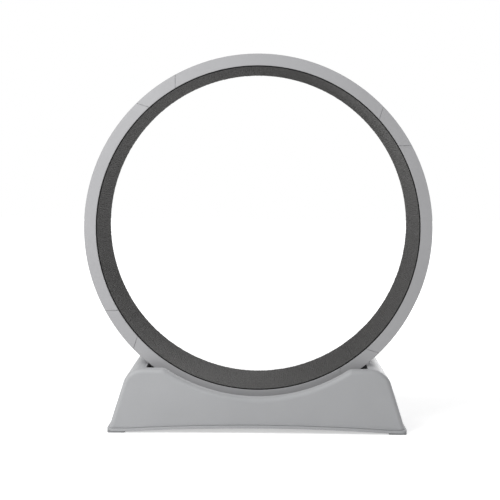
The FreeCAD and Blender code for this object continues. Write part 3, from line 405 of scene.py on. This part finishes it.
def pile_tree():
    """Carpet laid flat, tuft by tuft on its backing, then bent round the drum's axis."""
    build = Tree("curved_pile_carpet")
    length, width, backing = map(build.input, ("Length", "Width", "Backing thickness"))
    spacing, height, stray = map(build.input, ("Tuft spacing", "Pile height", "Unevenness"))
    radius, middle = map(build.input, ("Outer radius", "Middle angle"))
    centre = build.input("Axis", "Vector")
    seed = build.input("Seed", "Int")
    material = build.input("Material", "Material")

    def count(span):
        return build.math("ROUND", build.math("DIVIDE", span, spacing))

    rows = build.add("GeometryNodeMeshGrid", build.math("SUBTRACT", length, spacing),
                     build.math("SUBTRACT", width, spacing), count(length), count(width))
    other_way = build.math("MULTIPLY", stray, -1)
    shift = build.add("FunctionNodeRandomValue", build.vector(other_way, other_way, 0.0),
                      build.vector(stray, stray, 0.0), data_type="FLOAT_VECTOR", Seed=seed)
    offset = build.add("ShaderNodeVectorMath", shift, build.vector(0.0, 0.0, backing),
                       operation="ADD")
    spots = build.move(rows, Offset=offset)

    tuft = build.add("GeometryNodeMeshUVSphere", TUFT_SIDES, TUFT_RINGS, 1.0)
    across = build.math("MULTIPLY", build.random(*TUFT_GIRTH, build.math("ADD", seed, 1)),
                        spacing)
    tall = build.math("MULTIPLY", build.random(*TUFT_HEIGHT, build.math("ADD", seed, 2)),
                      height)
    tufts = build.add("GeometryNodeInstanceOnPoints", spots, Instance=tuft,
                      Rotation=build.vector(0.0, 0.0, build.random(0.0, math.pi)),
                      Scale=build.vector(across, across, tall))
    loose = build.add("GeometryNodeRealizeInstances", tufts)

    strip = build.add("GeometryNodeMeshCube", build.vector(length, width, backing),
                      *BACKING_POINTS)
    base = build.move(strip, Offset=build.vector(0.0, 0.0, build.math("MULTIPLY", backing, 0.5)))
    both = build.join("GeometryNodeJoinGeometry", loose, base)

    x, y, z = build.node("ShaderNodeSeparateXYZ", build.add("GeometryNodeInputPosition")).outputs
    angle = build.math("ADD", build.math("DIVIDE", x, radius), middle)
    reach = build.math("SUBTRACT", radius, z)
    bent = build.vector(build.math("MULTIPLY", reach, build.math("COSINE", angle)), y,
                        build.math("MULTIPLY", reach, build.math("SINE", angle)))
    placed = build.add("ShaderNodeVectorMath", bent, centre, operation="ADD")
    return build.finish(build.move(both, Position=placed), material)


# ---- screws ----

SCREW_AXES = {"bracket_screws": 2, "clip_screws": 1, "foot_screws": 2, "shell_screws": 2}
SCREW_REACH = 0.03                  # longer than a screw, shorter than between two of them
LEVEL_DIGITS, LEVEL_ROOM = 6, 1e-5

HEAD_POINTS = (24, 3, 4)            # round the head, down its side and across its faces
CROWN = 0.35                        # fall of the head's top at its edge, in head heights
RECESS_SPAN, RECESS_WIDTH = 1.15, 0.3    # in head radii
RECESS_BAR = 1.1                    # half of it cuts into the head, in head heights
SHANK_IN_HEAD = 0.2                 # in head heights
SHANK_SIDES = 12
TURN_STEPS = 5                      # rings of points in one turn of the thread
THREAD_DEPTH = 0.22                 # in shank radii
TIP_LENGTH, TIP_WIDTH = 1.6, 0.4    # in shank radii


def screw_places(node, along):
    """Tops of a node's screw heads, where each head points, and the screws' sizes."""
    rest = np.array([tuple(v.co) for v in node.data.vertices])
    across = [axis for axis in range(3) if axis != along]
    places = []
    while len(rest):
        near = np.linalg.norm(rest - rest[0], axis=1) < SCREW_REACH
        screw, rest = rest[near], rest[~near]
        middle = (screw.max(0) + screw.min(0)) / 2
        radii = np.hypot(*(screw[:, axis] - middle[axis] for axis in across))
        levels = np.unique(screw[:, along].round(LEVEL_DIGITS))
        widths = [radii[np.abs(screw[:, along] - level) < LEVEL_ROOM].max()
                  for level in (levels[0], levels[-1])]
        head_up = widths[1] > widths[0]
        top, under = (levels[-1], levels[-2]) if head_up else (levels[0], levels[1])
        middle[along] = top
        aim = np.zeros(3)
        aim[along] = 1 if head_up else -1
        places.append((middle, aim))
    return places, {"Head radius": max(widths), "Head height": abs(top - under),
                    "Shank radius": min(widths), "Length": levels[-1] - levels[0]}


def crowned_head(build, place, radius, height):
    """Head whose top stands at the origin, with a crown and a cross recess."""
    x, y, z = build.node("ShaderNodeSeparateXYZ", place).outputs
    flat = build.vector(x, y, 0.0)
    reach = build.node("ShaderNodeVectorMath", flat, operation="LENGTH").outputs["Value"]
    share = build.math("POWER", build.math("DIVIDE", reach, radius), 2)
    level = build.math("ADD", build.math("DIVIDE", z, height), 0.5)
    fall = build.math("MULTIPLY", build.math("MULTIPLY", share, level), -CROWN)
    sink = build.math("MULTIPLY", build.math("SUBTRACT", fall, 0.5), height)
    blank = build.add("GeometryNodeMeshCylinder", *HEAD_POINTS, radius, height)
    head = build.move(blank, Offset=build.vector(0.0, 0.0, sink))

    span = build.math("MULTIPLY", radius, RECESS_SPAN)
    width = build.math("MULTIPLY", radius, RECESS_WIDTH)
    depth = build.math("MULTIPLY", height, RECESS_BAR)
    bars = [build.add("GeometryNodeMeshCube", build.vector(*sides, depth))
            for sides in ((span, width), (width, span))]
    cross = build.join("GeometryNodeMeshBoolean", *bars, into="Mesh 2", operation="UNION",
                       solver="EXACT")
    return build.join("GeometryNodeMeshBoolean", cross, into="Mesh 2",
                      operation="DIFFERENCE", solver="EXACT", **{"Mesh 1": head})


def threaded_shank(build, place, radius, length, overall, pitch):
    """Shank below the head, with a thread wound round it and a narrower tip."""
    x, y, z = build.node("ShaderNodeSeparateXYZ", place).outputs
    rings = build.math("MULTIPLY", build.math("DIVIDE", length, pitch), TURN_STEPS)
    rod = build.add("GeometryNodeMeshCylinder", SHANK_SIDES, rings, 1, 1.0, length)
    turn = build.math("DIVIDE", build.math("ARCTAN2", y, x), 2 * math.pi)
    phase = build.math("FRACT", build.math("ADD", build.math("DIVIDE", z, pitch), turn))
    ridge = build.math("ABSOLUTE", build.math("SUBTRACT", phase, 0.5))
    thread = build.math("SUBTRACT", 1.0, build.math("MULTIPLY", ridge, 2 * THREAD_DEPTH))
    end = build.math("MULTIPLY", length, -0.5)
    tip = build.math("ADD", end, build.math("MULTIPLY", radius, TIP_LENGTH))
    taper = build.add("ShaderNodeMapRange", z, end, tip, TIP_WIDTH, 1.0)
    width = build.math("MULTIPLY", build.math("MULTIPLY", thread, taper), radius)
    middle = build.math("SUBTRACT", overall, build.math("MULTIPLY", length, 0.5))
    return build.move(rod, Position=build.vector(
        build.math("MULTIPLY", x, width), build.math("MULTIPLY", y, width),
        build.math("SUBTRACT", z, middle)))


def screw_tree():
    """Pan head screws with a cross recess and a thread, on points that carry their aim."""
    build = Tree("pan_head_screws")
    head_radius, head_height, shank_radius, length, pitch = map(build.input, (
        "Head radius", "Head height", "Shank radius", "Length", "Thread pitch"))
    seed = build.input("Seed", "Int")
    material = build.input("Material", "Material")

    place = build.add("GeometryNodeInputPosition")
    head = crowned_head(build, place, head_radius, head_height)
    shank_length = build.math("SUBTRACT", length,
                              build.math("MULTIPLY", head_height, 1 - SHANK_IN_HEAD))
    shank = threaded_shank(build, place, shank_radius, shank_length, length, pitch)
    screw = build.join("GeometryNodeJoinGeometry", head, shank)

    twist = build.vector(0.0, 0.0, build.random(0.0, math.pi, seed))
    spun = build.add("FunctionNodeEulerToRotation", twist)
    aim = build.add("GeometryNodeInputNamedAttribute", "aim", data_type="FLOAT_VECTOR")
    aimed = build.add("FunctionNodeAlignRotationToVector", spun, 1.0, aim, axis="Z")
    placed = build.add("GeometryNodeInstanceOnPoints", build.inputs.outputs["Geometry"],
                       Instance=screw, Rotation=aimed)
    return build.finish(placed, material)


def detailed_screws(name, tree, material, pitch, seed):
    """A node's screws with their recess and thread, in the CAD screws' places."""
    places, sizes = screw_places(NODES[name], SCREW_AXES[name])
    points = bpy.data.meshes.new(f"{name}_points")
    points.from_pydata([tuple(place) for place, aim in places], [], [])
    aims = points.attributes.new("aim", "FLOAT_VECTOR", "POINT")
    for item, (place, aim) in zip(aims.data, places):
        item.vector = tuple(aim)
    body = "wheel" if name == "clip_screws" else "base"
    values = {key: float(value) for key, value in sizes.items()}
    values.update({"Thread pitch": pitch, "Seed": seed, "Material": material})
    piece = grown(f"{name}_threaded", tree, values, body, start=points)
    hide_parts(name)


# ---- stage ----

FLOOR_HALF = 12.0
GLOW_NEAR, GLOW_FAR = 0.5, 1.0      # what the floor adds of its own, beside the wheel and far off
GLOW_START, GLOW_END = 0.8, 2.2     # from the middle of the base
LAMP_SIZE = 1.2
SENSOR_WIDTH = 36                   # millimetres


# ---- operators ----

class WHEEL_OT_base(bpy.types.Operator):
    """Gives the base's shells and tray their moulded plastic, and the feet their rubber"""
    bl_idname = "cat_wheel.base"
    bl_label = "Base"

    def execute(self, context):
        options = context.scene.wheel_finish
        dress(moulded_plastic("base_plastic_grained", tuple(options.base_colour), options),
              "base_tray", "front_shell", "rear_shell")
        dress(rubber("foot_rubber_grey", tuple(options.foot_colour)), *named("_foot"))
        return {"FINISHED"}


class WHEEL_OT_drum(bpy.types.Operator):
    """Gives the drum's track, side rings and clips their moulded plastic"""
    bl_idname = "cat_wheel.drum"
    bl_label = "Drum"

    def execute(self, context):
        options = context.scene.wheel_finish
        dress(moulded_plastic("drum_plastic_grained", tuple(options.drum_colour), options),
              *named("track_section", "joint_clip"))
        return {"FINISHED"}


class WHEEL_OT_rollers(bpy.types.Operator):
    """Gives the rollers, their bearings, axles and brackets their finishes"""
    bl_idname = "cat_wheel.rollers"
    bl_label = "Rollers"

    def execute(self, context):
        options = context.scene.wheel_finish
        dress(rubber("tyre_rubber_black", tuple(options.rubber_colour)), *named("_tyre"))
        dress(moulded_plastic("hub_nylon_white", linear(208, 207, 202), options), *named("_hub"))
        dress(moulded_plastic("bracket_nylon_black", linear(46, 46, 48), options),
              *named("_bracket"), "axle_spacers")
        dress(turned_steel("bearing_steel_ground", linear(196, 197, 200), 0.2),
              *named("bearing"), "axle_circlips")
        dress(turned_steel("axle_steel_ground", linear(188, 189, 193), 0.26),
              "left_axle", "right_axle")
        return {"FINISHED"}


class WHEEL_OT_fasteners(bpy.types.Operator):
    """Sets threaded screws with cross recesses, and zinc plates them, the bolts and the nuts"""
    bl_idname = "cat_wheel.fasteners"
    bl_label = "Fasteners"

    def execute(self, context):
        zinc = turned_steel("zinc_plate", linear(178, 180, 184), 0.3)
        dress(zinc, *named("_screws", "joint_bolts", "joint_nuts"))
        tree = screw_tree()
        for seed, name in enumerate(SCREW_AXES):
            detailed_screws(name, tree, zinc, context.scene.wheel_finish.thread_pitch, seed)
        return {"FINISHED"}


class WHEEL_OT_carpet(bpy.types.Operator):
    """Lines the drum with four lengths of tufted carpet"""
    bl_idname = "cat_wheel.carpet"
    bl_label = "Carpet"

    def execute(self, context):
        options = context.scene.wheel_carpet
        tree = pile_tree()
        edge = polar_span(NODES["carpet_mat_1"])["rear"] - AXIS.y
        material = carpet_pile("carpet_pile_grey", tuple(options.colour), edge)
        for number in range(1, 5):
            node = NODES[f"carpet_mat_{number}"]
            span = polar_span(node)
            mat = grown(f"carpet_length_{number}", tree, {
                "Length": 2 * span["half"] * span["outer"],
                "Width": span["rear"] - span["front"],
                "Backing thickness": span["outer"] - span["inner"] - options.pile_height,
                "Tuft spacing": options.tuft_spacing,
                "Pile height": options.pile_height,
                "Unevenness": options.unevenness,
                "Outer radius": span["outer"],
                "Middle angle": span["middle"],
                "Axis": tuple(AXIS),
                "Seed": SEED_STEP * number,
                "Material": material}, "wheel")
            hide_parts(node.name)
        return {"FINISHED"}


class WHEEL_OT_stage(bpy.types.Operator):
    """Sets up the pale floor, the studio light and the camera"""
    bl_idname = "cat_wheel.stage"
    bl_label = "Stage"

    def execute(self, context):
        options = context.scene.wheel_stage
        scene = context.scene
        scene.view_settings.view_transform = "Standard"

        floor_mesh = bpy.data.meshes.new("studio_floor")
        floor_mesh.from_pydata([(x * FLOOR_HALF, y * FLOOR_HALF, 0) for x, y in (
            (-1, -1), (1, -1), (1, 1), (-1, 1))], [], [(0, 1, 2, 3)])
        floor = bpy.data.objects.new("studio_floor", floor_mesh)
        scene.collection.objects.link(floor)
        floor_mesh.materials.append(self.floor_finish())

        world = bpy.data.worlds.new("studio")
        scene.world = world
        world.use_nodes = True
        tree = world.node_tree
        sky = tree.nodes["Background"]
        sky.inputs["Color"].default_value = (1, 1, 1, 1)
        sky.inputs["Strength"].default_value = options.sky_strength
        white = tree.nodes.new("ShaderNodeBackground")
        white.inputs["Color"].default_value = (1, 1, 1, 1)
        rays = tree.nodes.new("ShaderNodeLightPath")
        seen = self.seen_directly(tree, rays)
        choice = tree.nodes.new("ShaderNodeMixShader")
        tree.links.new(seen, choice.inputs[0])
        tree.links.new(sky.outputs[0], choice.inputs[1])
        tree.links.new(white.outputs[0], choice.inputs[2])
        tree.links.new(choice.outputs[0], tree.nodes["World Output"].inputs["Surface"])

        for name, place, target, power in (
                ("key_lamp", (-1.25, -1.25, 1.6), (0, 0, 0.45), options.key_power),
                ("rear_lamp", (1.7, 2.1, 1.0), (0, 0, 0.5), options.rear_power)):
            lamp = bpy.data.lights.new(name, "AREA")
            lamp.size = LAMP_SIZE
            lamp.energy = power
            light = bpy.data.objects.new(name, lamp)
            light.location = place
            aim = Vector(target) - Vector(place)
            light.rotation_euler = aim.to_track_quat("-Z", "Y").to_euler()
            scene.collection.objects.link(light)

        camera = bpy.data.objects.new("camera", bpy.data.cameras.new("camera"))
        camera.data.lens = options.camera_lens
        camera.data.sensor_width = SENSOR_WIDTH
        camera.data.shift_y = -options.camera_drop
        camera.location = options.camera_place
        aimed = Euler((math.pi / 2 - options.camera_tilt, 0, options.camera_turn)).to_quaternion()
        roll = Quaternion((0, 0, 1), options.camera_roll)
        camera.rotation_euler = (aimed @ roll).to_euler()
        scene.collection.objects.link(camera)
        scene.camera = camera
        return {"FINISHED"}

    @staticmethod
    def seen_directly(tree, rays):
        """1 for what the camera sees, also by reflection or through something clear."""
        found = rays.outputs["Is Camera Ray"]
        for name in ("Is Glossy Ray", "Is Transmission Ray"):
            larger = tree.nodes.new("ShaderNodeMath")
            larger.operation = "MAXIMUM"
            tree.links.new(found, larger.inputs[0])
            tree.links.new(rays.outputs[name], larger.inputs[1])
            found = larger.outputs[0]
        return found

    @staticmethod
    def floor_finish():
        """Pale floor that looks white to the camera, apart from the wheel's shadow."""
        finish = Finish("studio_floor_pale")
        scuffs = finish.noise(size=0.5, detail=3)
        tone = finish.ramp(scuffs, (0.3, (0.92, 0.92, 0.92)), (0.7, (0.94, 0.94, 0.94)))
        rays = finish.add("ShaderNodeLightPath")
        seen = WHEEL_OT_stage.seen_directly(finish.tree, rays)
        reach = finish.add("ShaderNodeVectorMath", operation="LENGTH", Vector=finish.place)
        near_to_far = finish.spread(reach.outputs["Value"], low=GLOW_NEAR, high=GLOW_FAR,
                                    start=GLOW_START, end=GLOW_END)
        glow = finish.add("ShaderNodeMath", operation="MULTIPLY")
        finish.tree.links.new(seen, glow.inputs[0])
        finish.tree.links.new(near_to_far, glow.inputs[1])
        finish.tree.links.new(glow.outputs[0], finish.shader.inputs["Emission Strength"])
        return finish.set(Base_Color=tone, Roughness=0.9, Specular_IOR_Level=0.0,
                          Emission_Color=(1.0, 1.0, 1.0))


class WHEEL_PT_panel(bpy.types.Panel):
    """Sizes and colours of the wheel, and the steps that dress it"""
    bl_idname = "WHEEL_PT_panel"
    bl_label = "Cat wheel"
    bl_space_type = "VIEW_3D"
    bl_region_type = "UI"
    bl_category = "Cat wheel"

    def draw(self, context):
        scene = context.scene
        for group in (scene.wheel_finish, scene.wheel_carpet, scene.wheel_stage):
            box = self.layout.box()
            for name in group.bl_rna.properties.keys():
                if name not in ("rna_type", "name"):
                    box.prop(group, name)
        for step in STEPS:
            self.layout.operator(step.bl_idname)


STEPS = (WHEEL_OT_base, WHEEL_OT_drum, WHEEL_OT_rollers, WHEEL_OT_fasteners, WHEEL_OT_carpet,
         WHEEL_OT_stage)
GROUPS = {"wheel_finish": WheelFinish, "wheel_carpet": WheelCarpet, "wheel_stage": WheelStage}


def register():
    for name, group in GROUPS.items():
        bpy.utils.register_class(group)
        setattr(bpy.types.Scene, name, bpy.props.PointerProperty(type=group))
    for step in STEPS:
        bpy.utils.register_class(step)
    bpy.utils.register_class(WHEEL_PT_panel)


def unregister():
    bpy.utils.unregister_class(WHEEL_PT_panel)
    for step in reversed(STEPS):
        bpy.utils.unregister_class(step)
    for name, group in GROUPS.items():
        delattr(bpy.types.Scene, name)
        bpy.utils.unregister_class(group)


def main():
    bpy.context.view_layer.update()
    register()
    for step in STEPS:
        area, name = step.bl_idname.split(".")
        getattr(getattr(bpy.ops, area), name)()


if __name__ == "__main__":
    main()
